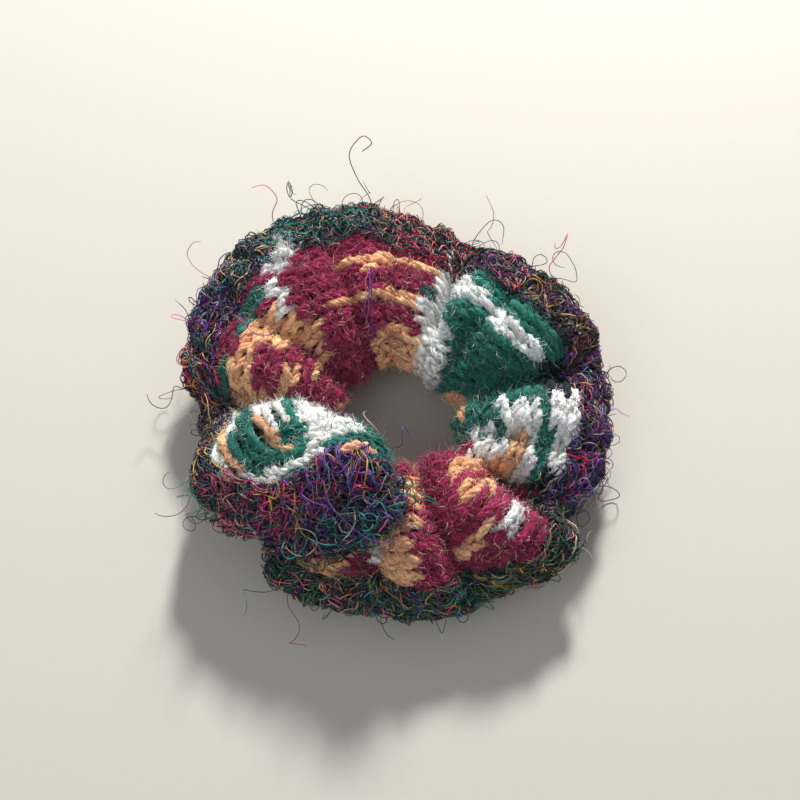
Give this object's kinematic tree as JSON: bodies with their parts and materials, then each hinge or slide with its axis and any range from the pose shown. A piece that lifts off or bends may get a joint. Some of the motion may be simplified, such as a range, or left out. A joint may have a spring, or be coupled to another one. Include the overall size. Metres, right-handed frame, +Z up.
{
  "type": "scrunchie",
  "caption": "Hand-crocheted ruffled hair scrunchie: a knitted strip folded round a braided hair elastic, its outer edge closed by a fluffy novelty-yarn band; the ring stretches open.",
  "frame": {"origin": "on the resting surface, under the middle of the scrunchie's box", "axes": "+Z up through the hole, away from the surface it lies on; +Y is the direction in which the ring is stretched open; the standing lobe is at -X -Y"},
  "size_m": [0.113, 0.107, 0.036],
  "materials": {
    "knit_yarn": "brushed wool-acrylic crochet, variegated wine, bottle green, peach and white",
    "novelty_yarn": "eyelash and recycled-silk threads, navy, teal, purple, crimson and gold",
    "light_yarn": "soft brushed yarn, off-white",
    "elastic_rubber": "natural rubber",
    "elastic_braid": "tight round braid, black",
    "elastic_bond": "heat-bonded joint, dull"
  },
  "bodies": {
    "front_arc": {"knit_cover_front": "knit_yarn", "yarn_edging_front": "novelty_yarn", "elastic_core_front": "elastic_rubber", "elastic_sleeve_front": "elastic_braid", "elastic_joint_band": "elastic_bond"},
    "side_arcs": {"knit_cover_right": "knit_yarn", "yarn_edging_right": "novelty_yarn", "elastic_core_right": "elastic_rubber", "elastic_sleeve_right": "elastic_braid", "knit_cover_left": "knit_yarn", "yarn_edging_left": "novelty_yarn", "elastic_core_left": "elastic_rubber", "elastic_sleeve_left": "elastic_braid"},
    "back_arc": {"knit_cover_back": "knit_yarn", "yarn_edging_back": "novelty_yarn", "elastic_core_back": "elastic_rubber", "elastic_sleeve_back": "elastic_braid", "strip_end_seam": "light_yarn", "yarn_knot": "light_yarn"}
  },
  "joints": [
    {"name": "stretch_front", "type": "slide", "parent": "front_arc", "child": "side_arcs", "axis": [0, 1, 0], "range_m": [0, 0.025], "stiffness_N_per_m": 150},
    {"name": "stretch_back", "type": "slide", "parent": "side_arcs", "child": "back_arc", "axis": [0, 1, 0], "range_m": [0, 0.025], "stiffness_N_per_m": 150}
  ],
  "couplings": [
    {"joint": "stretch_back", "follows": "stretch_front", "ratio": 1}
  ]
}
